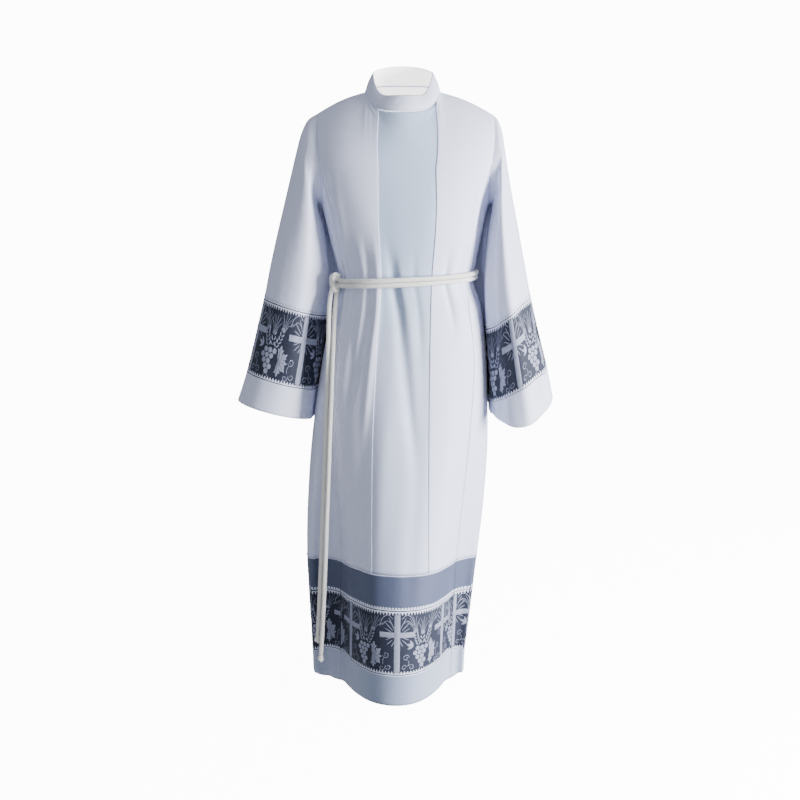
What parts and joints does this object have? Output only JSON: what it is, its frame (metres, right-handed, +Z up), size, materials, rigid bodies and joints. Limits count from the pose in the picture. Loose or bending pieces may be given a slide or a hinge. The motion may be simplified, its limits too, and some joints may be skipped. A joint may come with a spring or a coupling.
{
  "type": "alb robe with cincture",
  "caption": "Long light liturgical alb with stand collar, pleated front, lace bands on skirt and sleeves and a knotted cord at the waist, standing open as if worn, with no wearer.",
  "frame": {"origin": "the middle of the neck opening at the level of the nape seam, where the wearer's neck and shoulders hold the robe", "axes": "+Z up, +X towards the wearer's left, -Y towards the front"},
  "size_m": [0.7292, 0.3489, 1.43],
  "materials": {
    "cloth": "light woven cloth with a faint sheen",
    "sheer": "plain sheer net band",
    "lace": "embroidered net lace",
    "cord": "matt braided cotton cord"
  },
  "bodies": {
    "root": {"front_panel": "cloth", "back_panel": "cloth", "side_panel_left": "cloth", "side_panel_right": "cloth", "sleeve_left": "cloth", "sleeve_right": "cloth", "cuff_left": "cloth", "cuff_right": "cloth", "collar_stand": "cloth", "hem_band_front": "cloth", "hem_band_left": "cloth", "hem_band_back": "cloth", "hem_band_right": "cloth", "sheer_band_front": "sheer", "sheer_band_left": "sheer", "sheer_band_back": "sheer", "sheer_band_right": "sheer", "lace_band_front": "lace", "lace_band_left": "lace", "lace_band_back": "lace", "lace_band_right": "lace", "sleeve_lace_left": "lace", "sleeve_lace_right": "lace", "cord_strand_upper": "cord", "cord_strand_lower": "cord", "cord_knot": "cord", "cord_tail_outer": "cord", "cord_tail_inner": "cord", "cord_end_outer": "cord", "cord_end_inner": "cord"}
  },
  "joints": []
}
